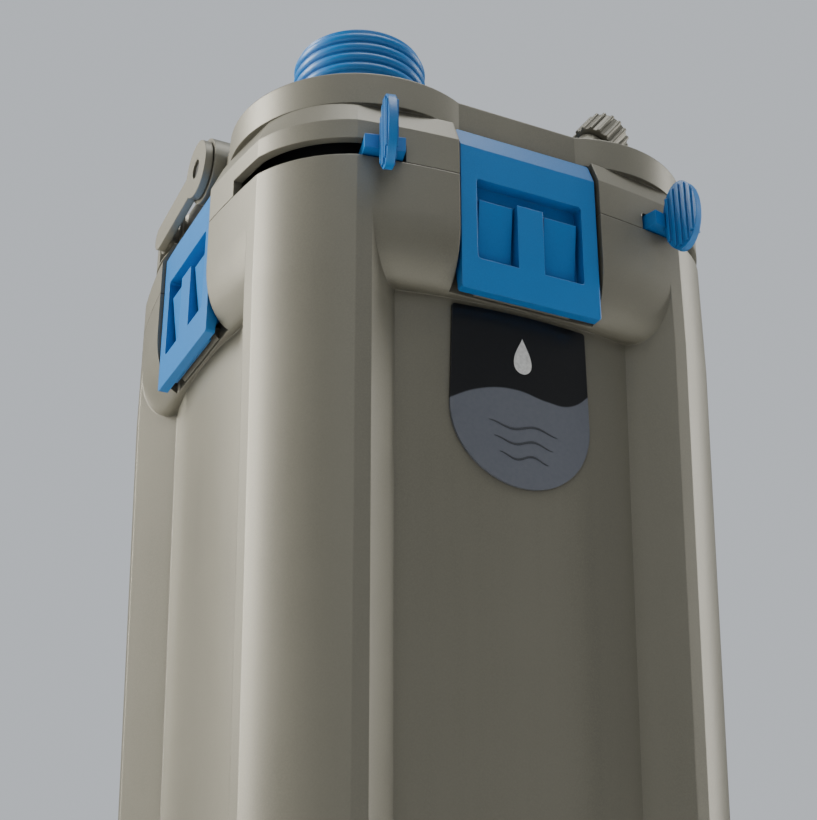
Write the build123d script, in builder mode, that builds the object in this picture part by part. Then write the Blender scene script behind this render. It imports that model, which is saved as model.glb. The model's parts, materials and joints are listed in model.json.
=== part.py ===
"""Canister filter: a square pressure vessel with a latched lid, hose ports, shut-off valves and media.

Frame: +Z up, the feet stand on z = 0, the vessel's axis is the Z axis, and the labelled face looks
along -Y. Lengths are in millimetres. The four corners are quarter turns of each other about Z.
"""
import math
import os

from build123d import *

os.makedirs("parts", exist_ok=True)

# ---------------------------------------------------------------- driving dimensions
SEAM = 340.0            # height of the joint between vessel and lid
FOOT = 3.0              # rubber feet
TRAY_TOP = 20.0         # upper edge of the base tray
VESSEL_BOTTOM = 8.0     # underside of the vessel's floor
STRAIGHT = 300.0        # above this height the vessel's sides are plumb
BASE_SCALE = 0.925      # the sides draw in towards the base by this factor
WALL = 3.0              # moulded wall
GAP = 0.3               # clearance between bodies

HALF = 86.4             # flat of a corner column, from the axis
CREASE = 61.7           # where a corner arc meets a face
BOW = 5.4               # the faces are bowed outwards by this much
CORNER_RISE = 3.5       # rise of the corner arc over its chord
PANEL = 76.3            # edge of the recessed panel, from the axis
PANEL_BOW = 4.6
PANEL_EDGE = 43.6       # half width of the recessed panel
COLUMN_EDGE = 56.5      # where a column's flat turns into the slanted flank
BELLY_TOP = 17.5        # below the seam: the collar's underside starts to curve in
BELLY_BOTTOM = 40.0     # below the seam: it meets the recessed panel

SKIRT = 13.4            # lid skirt above the seam
SHOULDER = 22.8         # top of the lid's chamfered band
CHAMFER_IN = 4.0
ROOF = 35.0             # top of the lid above the seam
DOME = 41.5             # centre of a corner dome, from both side planes
DOME_R = 45.5
TIER = 83.0             # straight wall of the lid's upper tier
TIER_HALF = 26.0        # half length of that wall
STEP_OUT = 0.9
STEP_LONG = 2.5

MOUTH_IN = 13.0         # the vessel's mouth, inside the collar's outline
PLUG_DEEP = 16.0        # the lid's plug reaches this far into the mouth
SLOT_H = 6.5            # lever slot in the lid's skirt
SLOT_FROM = 4.8         # its ends, in degrees round the dome's axis
SLOT_TO = 85.2
LEVER_AT = 14.3         # the lever's resting angle

PORT_R = 23.9           # 1 1/2 inch hose thread
PORT_BORE = 19.0
PORT_TOP = 71.6         # rim above the seam
PITCH = 4.2
CRESTS = 4

CHANNEL = 27.0          # half width of a latch's channel
LATCH_HALF = 25.9
LATCH_FACE = 89.4
LATCH_TOP = 21.2
LATCH_BREAK = 13.2      # the latch's face breaks back here, like the lid's band
LATCH_BOTTOM = -41.0
PIN_Y = 84.6
PIN_Z = 15.6
PIN_R = 1.6
FIT = 0.05              # radial clearance of a running fit
CUTTER = 20.0           # thickness of the blocks that cut channels and pockets open

PIVOT_Z = 34.8          # handle pivot above the seam
HANDLE_IN = 87.4        # inner face of a handle arm
HANDLE_THICK = 2.9
HANDLE_REACH = 41.9     # from the pivot to the middle of the grip, level
HANDLE_DROP = 5.7       # the folded grip lies this far below the pivot

RISER = 55.0            # riser pipe's centre, from both side planes
RISER_R = 13.0
RISER_BORE = 10.8
BASKET = 63.5
BASKET_CUT = 37.0
BASKET_LEVELS = (34.0, 128.0, 222.0)
BASKET_TALL = 94.0


# ---------------------------------------------------------------- shared outlines
def turned(x, y, quarter):
    """The point (x, y) turned by a number of quarter turns about Z."""
    for _ in range(quarter % 4):
        x, y = -y, x
    return (x, y)


def corner_mid(half, crease):
    """Coordinate of the middle of a corner arc, the same along X and Y."""
    return (half + crease) / 2 + CORNER_RISE / math.sqrt(2)


def bowed_square(z, inset=0.0, factor=1.0):
    """The full rounded outline with bowed faces, drawn in by inset, as a sketch at height z."""
    half = (HALF - inset) * factor
    crease = (CREASE - 0.45 * inset) * factor
    apex = (HALF + BOW - inset) * factor
    mid = corner_mid(HALF - inset, CREASE - 0.45 * inset) * factor
    with BuildSketch(Plane.XY.offset(z)) as outline:
        with BuildLine():
            for quarter in range(4):
                ThreePointArc(
                    turned(-crease, -half, quarter),
                    turned(0, -apex, quarter),
                    turned(crease, -half, quarter),
                )
                ThreePointArc(
                    turned(crease, -half, quarter),
                    turned(mid, -mid, quarter),
                    turned(half, -crease, quarter),
                )
        make_face()
    return outline.sketch


def fluted_square(z, inset=0.0, factor=1.0):
    """The vessel's outline: four corner columns with a recessed, bowed panel between each two."""
    edge_y = HALF + BOW * (1 - (COLUMN_EDGE / CREASE) ** 2)
    mid = corner_mid(HALF, CREASE)
    with BuildSketch(Plane.XY.offset(z)) as outline:
        with BuildLine():
            for quarter in range(4):
                def at(x, y):
                    return turned(x * factor, y * factor, quarter)
                ThreePointArc(at(-PANEL_EDGE, -PANEL), at(0, -PANEL - PANEL_BOW), at(PANEL_EDGE, -PANEL))
                Line(at(PANEL_EDGE, -PANEL), at(COLUMN_EDGE, -edge_y))
                Line(at(COLUMN_EDGE, -edge_y), at(CREASE, -HALF))
                ThreePointArc(at(CREASE, -HALF), at(mid, -mid), at(HALF, -CREASE))
                Line(at(HALF, -CREASE), at(edge_y, -COLUMN_EDGE))
                Line(at(edge_y, -COLUMN_EDGE), at(PANEL, -PANEL_EDGE))
        make_face()
        if inset:
            offset(amount=-inset, kind=Kind.INTERSECTION)
    return outline.sketch


def tier_outline(z, inset=0.0):
    """The lid's upper tier: straight walls between four round corner domes."""
    with BuildSketch(Plane.XY.offset(z)) as outline:
        Rectangle(2 * TIER_HALF, 2 * TIER)
        Rectangle(2 * TIER, 2 * TIER_HALF)
        long = TIER_HALF + STEP_LONG
        Rectangle(2 * long, 2 * (TIER + STEP_OUT))
        Rectangle(2 * (TIER + STEP_OUT), 2 * long)
        Rectangle(2 * TIER_HALF, 2 * (TIER + 2 * STEP_OUT), mode=Mode.SUBTRACT)
        Rectangle(2 * (TIER + 2 * STEP_OUT), 2 * TIER_HALF, mode=Mode.SUBTRACT)
        Rectangle(2 * TIER_HALF, 2 * TIER)
        Rectangle(2 * TIER, 2 * TIER_HALF)
        with GridLocations(2 * DOME, 2 * DOME, 2, 2):
            Circle(DOME_R)
        if inset:
            offset(amount=-inset, kind=Kind.INTERSECTION)
    return outline.sketch


def finish(piece, name):
    """Label a piece and write it."""
    piece.label = name
    export_step(piece, f"parts/{name}.step")


def up(z):
    """Height above the floor of a level given from the seam."""
    return SEAM + z


def side_plane(quarter, x=0.0):
    """Upright plane across a face: local X points into the vessel, local Y is up from the seam."""
    origin = turned(x, 0, quarter)
    inward = turned(0, 1, quarter)
    across = turned(1, 0, quarter)
    return Plane(origin=(*origin, SEAM), x_dir=(*inward, 0), z_dir=(*across, 0))


def front_plane(quarter, y):
    """Upright plane along a face at distance y from the axis: local Y is up from the seam."""
    origin = turned(0, -y, quarter)
    outward = turned(0, -1, quarter)
    across = turned(1, 0, quarter)
    return Plane(origin=(*origin, SEAM), x_dir=(*across, 0), z_dir=(*outward, 0))


def level_plane(quarter, z):
    """Level plane in a face's own frame: local Y points into the vessel."""
    across = turned(1, 0, quarter)
    return Plane(origin=(0, 0, up(z)), x_dir=(*across, 0), z_dir=(0, 0, 1))


# ---------------------------------------------------------------- vessel
def vessel_block():
    """The vessel's outer form below the collar, as one solid."""
    with BuildPart() as block:
        add(fluted_square(VESSEL_BOTTOM, 0, BASE_SCALE))
        add(fluted_square(STRAIGHT))
        loft(ruled=True)
        add(fluted_square(STRAIGHT))
        extrude(amount=SEAM - STRAIGHT)
    return block.part


FACE_R = (CREASE**2 + BOW**2) / (2 * BOW)
FLOOR = 3.5
CATCH_TOP = -34.5
CATCH_BOTTOM = -36.5
CATCH_REACH = 84.4
VESSEL_CHANNEL = 81.9   # back of a latch channel; the rim keeps a full wall behind it
CATCH_HALF = 18.0
CATCH_BEVEL = 0.8
CATCH_SLOPE = 2.5
GROOVE_DEEP = 2.0


def belly(quarter):
    """The collar's rounded underside on one face, swept round the bowed face's own centre."""
    apex = HALF + BOW
    inner = PANEL - 2 * WALL
    depth = apex - PANEL - PANEL_BOW
    centre = turned(0, FACE_R - apex, quarter)
    swing = 2 * math.degrees(math.asin(COLUMN_EDGE / FACE_R))
    with BuildPart() as piece:
        with BuildSketch(side_plane(quarter)):
            with BuildLine():
                Line((-inner, -BELLY_TOP + 1), (-apex, -BELLY_TOP + 1))
                Line((-apex, -BELLY_TOP + 1), (-apex, -BELLY_TOP))
                EllipticalCenterArc(
                    (-apex + depth, -BELLY_TOP),
                    depth,
                    BELLY_BOTTOM - BELLY_TOP,
                    start_angle=180,
                    arc_size=90,
                )
                Line((-apex + depth, -BELLY_BOTTOM), (-inner, -BELLY_BOTTOM))
                Line((-inner, -BELLY_BOTTOM), (-inner, -BELLY_TOP + 1))
            make_face()
        revolve(axis=Axis((*centre, 0), (0, 0, 1)), revolution_arc=swing)
    spin = -swing / 2
    return piece.part.rotate(Axis((*centre, 0), (0, 0, 1)), spin)


with BuildPart() as vessel_shell:
    add(vessel_block())
    add(bowed_square(up(-BELLY_TOP)))
    extrude(amount=BELLY_TOP)
    for quarter in range(4):
        add(belly(quarter))
    for quarter in range(4):
        with BuildSketch(level_plane(quarter, -BELLY_BOTTOM - WALL)):
            with Locations((0, -VESSEL_CHANNEL - CUTTER / 2)):
                Rectangle(2 * CHANNEL, CUTTER)
        extrude(amount=BELLY_BOTTOM + 2 * WALL, mode=Mode.SUBTRACT)
    add(fluted_square(VESSEL_BOTTOM + FLOOR, WALL, BASE_SCALE))
    add(fluted_square(STRAIGHT, WALL))
    loft(ruled=True, mode=Mode.SUBTRACT)
    add(fluted_square(STRAIGHT, WALL))
    extrude(amount=SEAM - STRAIGHT - PLUG_DEEP - 4, mode=Mode.SUBTRACT)
    add(bowed_square(up(-PLUG_DEEP - 5), MOUTH_IN))
    extrude(amount=PLUG_DEEP + 6, mode=Mode.SUBTRACT)
finish(vessel_shell.part, "vessel_shell")


# ---------------------------------------------------------------- base
TRAY_OUT = 1.5
TRAY_SCALE = BASE_SCALE + (TRAY_TOP - VESSEL_BOTTOM) / (STRAIGHT - VESSEL_BOTTOM) * (1 - BASE_SCALE)
FOOT_AT = 60.0
FOOT_R = 9.0
SCREW_AT = 62.0
SCREW_R = 1.9
SCREW_SINK = 0.2
SCREW_CLEAR = 0.3
TRAY_ROUND = 1.2
FOOT_BEVEL = 0.6

with BuildPart() as base_tray:
    add(bowed_square(FOOT, -TRAY_OUT, TRAY_SCALE))
    extrude(amount=TRAY_TOP - FOOT)
    fillet(base_tray.edges().group_by(Axis.Z)[-1], radius=TRAY_ROUND)
    add(fluted_square(VESSEL_BOTTOM, 0, TRAY_SCALE * (1 + 1.5 * GAP / HALF)))
    extrude(amount=TRAY_TOP, mode=Mode.SUBTRACT)
    with BuildSketch(Plane.XY.offset(FOOT)):
        with PolarLocations(0.5 * SCREW_AT, 4):
            Circle(SCREW_R + SCREW_CLEAR)
    extrude(amount=VESSEL_BOTTOM, mode=Mode.SUBTRACT)
finish(base_tray.part, "base_tray")

with BuildPart() as rubber_feet:
    with BuildSketch(Plane.XY):
        with GridLocations(2 * FOOT_AT, 2 * FOOT_AT, 2, 2):
            Circle(FOOT_R)
        Circle(FOOT_R)
    extrude(amount=FOOT)
    chamfer(rubber_feet.edges().group_by(Axis.Z)[0], length=FOOT_BEVEL)
finish(rubber_feet.part, "rubber_feet")

with BuildPart() as base_screws:
    with BuildSketch(Plane.XY.offset(FOOT + SCREW_SINK)):
        with PolarLocations(0.5 * SCREW_AT, 4):
            Circle(SCREW_R)
    extrude(amount=VESSEL_BOTTOM - FOOT - SCREW_SINK)
finish(base_screws.part, "base_screws")

# ---------------------------------------------------------------- front label
LABEL_HALF = 25.6
LABEL_TOP = -42.0
LABEL_LOW = -102.5
LABEL_THICK = 0.8
LABEL_DRAFT = 0.8       # the sides lean in by this much
LABEL_ROUND = 1.0

with BuildPart() as label_plate:
    with BuildSketch(front_plane(0, PANEL + 3 * PANEL_BOW)):
        with BuildLine():
            side_low = LABEL_LOW + LABEL_HALF
            FilletPolyline(
                (LABEL_HALF, side_low),
                (LABEL_HALF - LABEL_DRAFT, LABEL_TOP),
                (-LABEL_HALF + LABEL_DRAFT, LABEL_TOP),
                (-LABEL_HALF, side_low),
                radius=LABEL_ROUND,
            )
            ThreePointArc((-LABEL_HALF, side_low), (0, LABEL_LOW), (LABEL_HALF, side_low))
        make_face()
    extrude(amount=-5 * PANEL_BOW)
    add(Pos(0, -LABEL_THICK, 0) * vessel_block(), mode=Mode.INTERSECT)
    add(vessel_block(), mode=Mode.SUBTRACT)
finish(label_plate.part, "label_plate")

# ---------------------------------------------------------------- catch bars on the vessel
for quarter, face in enumerate(("front", "right", "rear", "left")):
    with BuildPart() as catch_bar:
        with BuildSketch(side_plane(quarter, -CATCH_HALF)):
            with BuildLine():
                Polyline(
                    (-VESSEL_CHANNEL, CATCH_TOP),
                    (-CATCH_REACH + CATCH_BEVEL, CATCH_TOP),
                    (-CATCH_REACH, CATCH_TOP - CATCH_BEVEL),
                    (-CATCH_REACH, CATCH_BOTTOM),
                    (-VESSEL_CHANNEL, CATCH_BOTTOM - CATCH_SLOPE),
                    close=True,
                )
            make_face()
        extrude(amount=2 * CATCH_HALF)
    finish(catch_bar.part, f"catch_bar_{face}")

# ---------------------------------------------------------------- inside the vessel
SUPPORT_TOP = BASKET_LEVELS[0]
GRID_PITCH = 8.0
GRID_HOLE = 5.6
GRID_LONG = 37.0
GRID_ROWS = 3

def basket_outline(z, inset=0.0):
    """Square with cut corners, which clears the corner columns and the riser pipe."""
    with BuildSketch(Plane.XY.offset(z)) as outline:
        Rectangle(2 * BASKET, 2 * BASKET)
        chamfer(outline.vertices(), length=BASKET_CUT)
        if inset:
            offset(amount=-inset, kind=Kind.INTERSECTION)
    return outline.sketch


def grid_holes(z):
    """Slots of a water-passing floor."""
    with BuildSketch(Plane.XY.offset(z)) as holes:
        with GridLocations(GRID_PITCH, GRID_LONG + GRID_PITCH - GRID_HOLE, GRID_COUNT, GRID_ROWS):
            Rectangle(GRID_HOLE, GRID_LONG)
        add(basket_outline(z, WALL + 1), mode=Mode.INTERSECT)
    return holes.sketch


GRID_COUNT = 13
BASKET_WALL = 1.8
LEG = 48.0
LEG_R = 4.0
FOAM_TALL = 84.0

with BuildPart() as support_grid:
    add(basket_outline(SUPPORT_TOP - WALL))
    extrude(amount=WALL)
    add(grid_holes(SUPPORT_TOP - WALL))
    extrude(amount=WALL, mode=Mode.SUBTRACT)
    with BuildSketch(Plane.XY.offset(VESSEL_BOTTOM + FLOOR)):
        with PolarLocations(LEG, 4):
            Circle(LEG_R)
        Circle(LEG_R)
    extrude(amount=SUPPORT_TOP - WALL - VESSEL_BOTTOM - FLOOR)
finish(support_grid.part, "support_grid")

for level, name in zip(BASKET_LEVELS, ("lower", "middle", "upper")):
    with BuildPart() as basket:
        add(basket_outline(level))
        extrude(amount=BASKET_TALL)
        add(basket_outline(level + BASKET_WALL, BASKET_WALL))
        extrude(amount=BASKET_TALL, mode=Mode.SUBTRACT)
        add(grid_holes(level))
        extrude(amount=BASKET_WALL, mode=Mode.SUBTRACT)
    finish(basket.part, f"basket_{name}")

for level, name in ((BASKET_LEVELS[0], "foam_coarse"), (BASKET_LEVELS[1], "foam_fine")):
    with BuildPart() as foam:
        add(basket_outline(level + BASKET_WALL, BASKET_WALL + GAP))
        extrude(amount=FOAM_TALL)
    finish(foam.part, name)

RING_R = 8.0
RING_BORE = 4.5
RING_TALL = 15.0
RING_PITCH = 17.5
RING_ROWS = 5
RING_LAYERS = 4
RING_GAP = 0.4
RING_REST = 0.1

with BuildPart() as ceramic_rings:
    for layer in range(RING_LAYERS):
        level = BASKET_LEVELS[2] + BASKET_WALL + RING_REST + layer * (RING_TALL + RING_GAP)
        with BuildSketch(Plane.XY.offset(level)):
            with GridLocations(RING_PITCH, RING_PITCH, RING_ROWS, RING_ROWS):
                Circle(RING_R)
                Circle(RING_BORE, mode=Mode.SUBTRACT)
        extrude(amount=RING_TALL)
finish(ceramic_rings.part, "ceramic_rings")

COVER_AT = BASKET_LEVELS[2] + BASKET_TALL
COVER_GRIPS = 60.0      # distance between the cover's two finger grips
COVER_GRIP_THICK = 5.0
COVER_GRIP_LONG = 12.0

with BuildPart() as basket_cover:
    add(basket_outline(COVER_AT))
    extrude(amount=BASKET_WALL)
    add(grid_holes(COVER_AT))
    extrude(amount=BASKET_WALL, mode=Mode.SUBTRACT)
    with BuildSketch(Plane.XY.offset(COVER_AT + BASKET_WALL)):
        with GridLocations(COVER_GRIPS, 0, 2, 1):
            Rectangle(COVER_GRIP_THICK, COVER_GRIP_LONG)
    extrude(amount=WALL)
finish(basket_cover.part, "basket_cover")

RISER_HIGH = up(-PLUG_DEEP + 3)
NOTCH_WIDE = 9.0        # water enters the riser through notches in its foot
NOTCH_TALL = 12.0

with BuildPart() as riser_pipe:
    with BuildSketch(Plane.XY.offset(VESSEL_BOTTOM + FLOOR)):
        with Locations((-RISER, -RISER)):
            Circle(RISER_R)
            Circle(RISER_BORE, mode=Mode.SUBTRACT)
    extrude(amount=RISER_HIGH - VESSEL_BOTTOM - FLOOR)
    with BuildSketch(Plane.XY.offset(VESSEL_BOTTOM + FLOOR)):
        with Locations((-RISER, -RISER)):
            Rectangle(3 * RISER_R, NOTCH_WIDE)
            Rectangle(NOTCH_WIDE, 3 * RISER_R)
    extrude(amount=NOTCH_TALL, mode=Mode.SUBTRACT)
finish(riser_pipe.part, "riser_pipe")

# ---------------------------------------------------------------- lid shell
POCKET_BACK = 78.4
POCKET_WALL = 2.5
POCKET_FRONT = 82.0     # the pocket's back wall is built up to here
CHEEK_FACE = 89.5       # cheeks beside a latch: face and upper corner
CHEEK_TOP = 86.0
PIN_SEAT = 2.0          # a latch pin reaches this far into each cheek
TROUGH_FROM = 27.5
TROUGH_TO = 45.0
TROUGH_FLOOR = 23.3
SCOOP_HALF = 45.0
SCOOP_FROM = 22.0
SCOOP_TO = 50.5
SCOOP_FLOOR = 13.0
SCOOP_ROUND = 7.0
BOSS_R = 12.2
PIVOT_Y = -6.0
SHANK_R = 2.4
VENT_AT = (42.0, -71.0, 46.4)
VENT_TILT = 38.0
VENT_BOSS_R = 6.6
VENT_BORE = 3.05
BOSS_LONG = 26.0
BOSS_END = 6.2
STEM_LONG = 15.5
SOCKET_OUT = 21.5
SOCKET_BORE = 18.0
POSTS = ((-52, 64), (52, 64), (0, -60), (0, 66), (-66, 6), (66, 6))
POST_R = 5.0
THREAD_R = 1.5
THREAD_DEEP = 12.0
HEAD_TALL = 2.0
RIM_ROUND = 0.8
PORT_CLEAR = 0.2


def dome_spot(side):
    """Centre of the front dome on the left (-1) or right (1)."""
    return (side * DOME, -DOME)


def vent_plane(along):
    """Plane across the tilted vent axis, at a distance along it."""
    tilt = math.radians(VENT_TILT)
    direction = (math.sin(tilt), 0, math.cos(tilt))
    origin = (VENT_AT[0] + along * direction[0], VENT_AT[1], up(VENT_AT[2]) + along * direction[2])
    return Plane(origin=origin, x_dir=(0, 1, 0), z_dir=direction)


def slot_wedge(side, z, from_deg=SLOT_FROM, to_deg=SLOT_TO, reach=75.0):
    """Sector round a front dome's axis, from the front face towards the side face."""
    x, y = dome_spot(side)
    first = math.radians(from_deg)
    last = math.radians(to_deg)
    far = reach * math.sqrt(2)
    with BuildSketch(Plane.XY.offset(z)) as sector:
        with BuildLine():
            Polyline(
                (x, y),
                (x + side * reach * math.sin(first), y - reach * math.cos(first)),
                (x + side * far * math.sin(math.pi / 4), y - far * math.cos(math.pi / 4)),
                (x + side * reach * math.sin(last), y - reach * math.cos(last)),
                close=True,
            )
        make_face()
    return sector.sketch


with BuildPart() as lid_shell:
    add(bowed_square(up(GAP)))
    extrude(amount=SKIRT - GAP)
    add(bowed_square(up(SKIRT)))
    add(bowed_square(up(SHOULDER), CHAMFER_IN))
    loft(ruled=True)
    add(tier_outline(up(SHOULDER)))
    extrude(amount=ROOF - SHOULDER)
    rim = lid_shell.edges().group_by(Axis.Z)[-1]
    fillet(rim, radius=RIM_ROUND)
    # vent boss
    with BuildSketch(vent_plane(-BOSS_LONG)):
        Circle(VENT_BOSS_R)
    extrude(amount=BOSS_LONG - BOSS_END)
    # hollow underside
    add(bowed_square(up(0), WALL))
    extrude(amount=SKIRT, mode=Mode.SUBTRACT)
    add(tier_outline(up(SKIRT), WALL))
    extrude(amount=ROOF - WALL - SKIRT, mode=Mode.SUBTRACT)
    # grip trough and finger scoop
    with BuildSketch(Plane.XY.offset(up(TROUGH_FLOOR - POCKET_WALL))):
        with Locations((0, (TROUGH_FROM + TROUGH_TO) / 2)):
            Rectangle(2 * (DOME + DOME_R - POCKET_WALL), TROUGH_TO - TROUGH_FROM + 2 * POCKET_WALL)
    extrude(amount=ROOF - TROUGH_FLOOR + POCKET_WALL - 1)
    with BuildSketch(Plane.XY.offset(up(SCOOP_FLOOR - POCKET_WALL))):
        with Locations((0, (SCOOP_FROM + SCOOP_TO) / 2)):
            scoop_wide = 2 * (SCOOP_HALF + POCKET_WALL)
            scoop_long = SCOOP_TO - SCOOP_FROM + 2 * POCKET_WALL
            RectangleRounded(scoop_wide, scoop_long, SCOOP_ROUND + 1)
    extrude(amount=ROOF - SCOOP_FLOOR + POCKET_WALL - 1)
    with BuildSketch(Plane.XY.offset(up(TROUGH_FLOOR))):
        with Locations((0, (TROUGH_FROM + TROUGH_TO) / 2)):
            Rectangle(2 * HALF + 2 * BOW, TROUGH_TO - TROUGH_FROM)
    extrude(amount=ROOF, mode=Mode.SUBTRACT)
    with BuildSketch(Plane.XY.offset(up(SCOOP_FLOOR))):
        with Locations((0, (SCOOP_FROM + SCOOP_TO) / 2)):
            RectangleRounded(2 * SCOOP_HALF, SCOOP_TO - SCOOP_FROM, SCOOP_ROUND)
    extrude(amount=ROOF, mode=Mode.SUBTRACT)
    # latch pockets with their cheeks
    for quarter in range(4):
        with BuildSketch(level_plane(quarter, GAP)):
            with Locations((0, -(POCKET_BACK + POCKET_FRONT) / 2 + POCKET_WALL / 2)):
                Rectangle(2 * (CHANNEL + POCKET_WALL), POCKET_FRONT - POCKET_BACK + POCKET_WALL)
        extrude(amount=SHOULDER + 1 - GAP)
        with BuildSketch(side_plane(quarter, -CHANNEL - POCKET_WALL)):
            with BuildLine():
                Polyline(
                    (-POCKET_BACK, GAP),
                    (-CHEEK_FACE, GAP),
                    (-CHEEK_FACE, SKIRT),
                    (-CHEEK_TOP, SHOULDER),
                    (-POCKET_BACK, SHOULDER),
                    close=True,
                )
            make_face()
        extrude(amount=2 * (CHANNEL + POCKET_WALL))
        with BuildSketch(level_plane(quarter, -1)):
            with Locations((0, -POCKET_BACK - CUTTER / 2)):
                Rectangle(2 * CHANNEL, CUTTER)
        extrude(amount=SHOULDER + 1, mode=Mode.SUBTRACT)
        with BuildSketch(side_plane(quarter, -CHANNEL - PIN_SEAT)):
            with Locations((-PIN_Y, PIN_Z)):
                Circle(PIN_R)
        extrude(amount=2 * (CHANNEL + PIN_SEAT), mode=Mode.SUBTRACT)
    # lever slots at the two front corners
    for side in (-1, 1):
        add(slot_wedge(side, up(-1)))
        extrude(amount=SLOT_H + 1, mode=Mode.SUBTRACT)
    # handle bosses
    for quarter in (1, 3):
        with BuildSketch(front_plane(quarter, TIER - WALL)):
            with Locations((PIVOT_Y if quarter == 1 else -PIVOT_Y, PIVOT_Z)):
                Circle(BOSS_R)
        extrude(amount=HANDLE_IN - GAP - TIER + WALL)
        with BuildSketch(front_plane(quarter, TIER - WALL)):
            with Locations((PIVOT_Y if quarter == 1 else -PIVOT_Y, PIVOT_Z)):
                Circle(SHANK_R)
        extrude(amount=BOSS_R, mode=Mode.SUBTRACT)
    # screw posts for the plug
    with BuildSketch(Plane.XY.offset(up(GAP))):
        with Locations(POSTS):
            Circle(POST_R)
    extrude(amount=ROOF - WALL)
    with BuildSketch(Plane.XY.offset(up(GAP))):
        with Locations(POSTS):
            Circle(THREAD_R)
    extrude(amount=THREAD_DEEP, mode=Mode.SUBTRACT)
    with BuildSketch(vent_plane(-STEM_LONG)):
        Circle(VENT_BORE)
    extrude(amount=STEM_LONG, mode=Mode.SUBTRACT)
    # port openings
    for side, radius in ((-1, PORT_R), (1, SOCKET_OUT)):
        with BuildSketch(Plane.XY.offset(up(ROOF - 2 * WALL))):
            with Locations(dome_spot(side)):
                Circle(radius + PORT_CLEAR)
        extrude(amount=3 * WALL, mode=Mode.SUBTRACT)
finish(lid_shell.part, "lid_shell")

# ---------------------------------------------------------------- plug under the lid
def gasket_band(outer):
    """Band round the plug between the depth `outer` and the bottom of its groove."""
    with BuildPart() as band:
        add(bowed_square(up(GASKET_LOW), outer))
        extrude(amount=GASKET_TALL)
        add(bowed_square(up(GASKET_LOW), PLUG_IN + GROOVE_DEEP))
        extrude(amount=GASKET_TALL, mode=Mode.SUBTRACT)
    return band.part


DECK_TOP = GAP
DECK_THICK = 3.0
PLUG_IN = MOUTH_IN + 0.4
PLUG_WALL = 4.5
GASKET_LOW = -11.0
GASKET_TALL = 4.0
SOCKET_R = 17.5
VALVE_HOLE = 9.0
RISER_SEAL = 2.0
SEAL_REST = 0.1

with BuildPart() as lid_deck:
    add(bowed_square(up(-PLUG_DEEP), PLUG_IN))
    extrude(amount=PLUG_DEEP + DECK_TOP)
    add(bowed_square(up(-PLUG_DEEP), PLUG_IN + PLUG_WALL))
    extrude(amount=PLUG_DEEP + DECK_TOP - DECK_THICK, mode=Mode.SUBTRACT)
    with BuildSketch(Plane.XY.offset(up(-PLUG_DEEP))):
        with Locations((-RISER, -RISER), (RISER, -RISER)):
            Circle(SOCKET_R)
        add(bowed_square(up(-PLUG_DEEP), PLUG_IN), mode=Mode.INTERSECT)
    extrude(amount=PLUG_DEEP)
    for spot in (-RISER, RISER):
        with BuildSketch(Plane.XY.offset(up(-PLUG_DEEP))):
            with Locations((spot, -RISER)):
                Circle(RISER_R + GAP)
        extrude(amount=PLUG_DEEP + DECK_TOP - DECK_THICK, mode=Mode.SUBTRACT)
        with BuildSketch(Plane.XY.offset(up(-PLUG_DEEP))):
            with Locations((spot, -RISER)):
                Circle(VALVE_HOLE)
        extrude(amount=2 * PLUG_DEEP, mode=Mode.SUBTRACT)
    with BuildSketch(Plane.XY.offset(up(-PLUG_DEEP))):
        with Locations(POSTS):
            Circle(THREAD_R)
    extrude(amount=2 * PLUG_DEEP, mode=Mode.SUBTRACT)
    add(gasket_band(PLUG_IN - 1), mode=Mode.SUBTRACT)
finish(lid_deck.part, "lid_deck")

with BuildPart() as lid_gasket:
    add(gasket_band(MOUTH_IN + SEAL_REST))
finish(lid_gasket.part, "lid_gasket")

with BuildPart() as deck_screws:
    with BuildSketch(Plane.XY.offset(up(DECK_TOP - DECK_THICK))):
        with Locations(POSTS):
            Circle(THREAD_R)
    extrude(amount=THREAD_DEEP)
    with BuildSketch(Plane.XY.offset(up(DECK_TOP - DECK_THICK))):
        with Locations(POSTS):
            Circle(2 * THREAD_R)
    extrude(amount=-HEAD_TALL)
finish(deck_screws.part, "deck_screws")

with BuildPart() as riser_seal:
    with BuildSketch(Plane.XY.offset(RISER_HIGH + SEAL_REST)):
        with Locations((-RISER, -RISER)):
            Circle(RISER_R + GAP)
            Circle(VALVE_HOLE + 1, mode=Mode.SUBTRACT)
    extrude(amount=RISER_SEAL)
finish(riser_seal.part, "riser_seal")

# ---------------------------------------------------------------- valves and ports
CUP_R = 34.3
CUP_BORE = 31.3
CUP_TOP = 28.5
FLANGE_TOP = 31.9
SPOOL_R = 31.0
SPOOL_BORE = 27.0
SPOOL_LOW = 0.9
SPOOL_TOP = 27.5
SPOOL_FLOOR = 3.0
ARM_HALF = 6.7
ARM_LOW = 0.7
ARM_TOP = 5.9
ARM_REACH = 52.0
CORE_REACH = 59.0
TAB_IN = 50.6
TAB_OUT = 65.4
TAB_LOW = -10.3
TAB_TOP = 16.5
TAB_CORE = 2.8
TAB_RIB = 4.0
TAB_PITCH = 2.5
TAB_MARGIN = 1.2        # the ribs stop this far inside the tab's edge
SLOT_EXTRA = 7.8        # the cup's window is wider than the lid's slot, in degrees
SEAL_IN = 27.0
SEAL_OUT = 30.5
SEAL_DEEP = 1.5
NECK_R = 22.6
THREAD_TOP = 69.6
CREST_DEEP = 1.5
CREST_HALF = 0.44       # half a crest's root, in pitches
CREST_SINK = 0.4
PORT_BEVEL = 0.8
NUT_BEVEL = 0.7
COLLAR_ROUND = 1.0
COLLAR_NOTCH = 8.0
COLLAR_NOTCH_AT = -52.0
COLLAR_R = 30.0
COLLAR_TOP = 46.5
RING_NUT_R = 23.2
RING_NUT_TOP = 37.5


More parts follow.
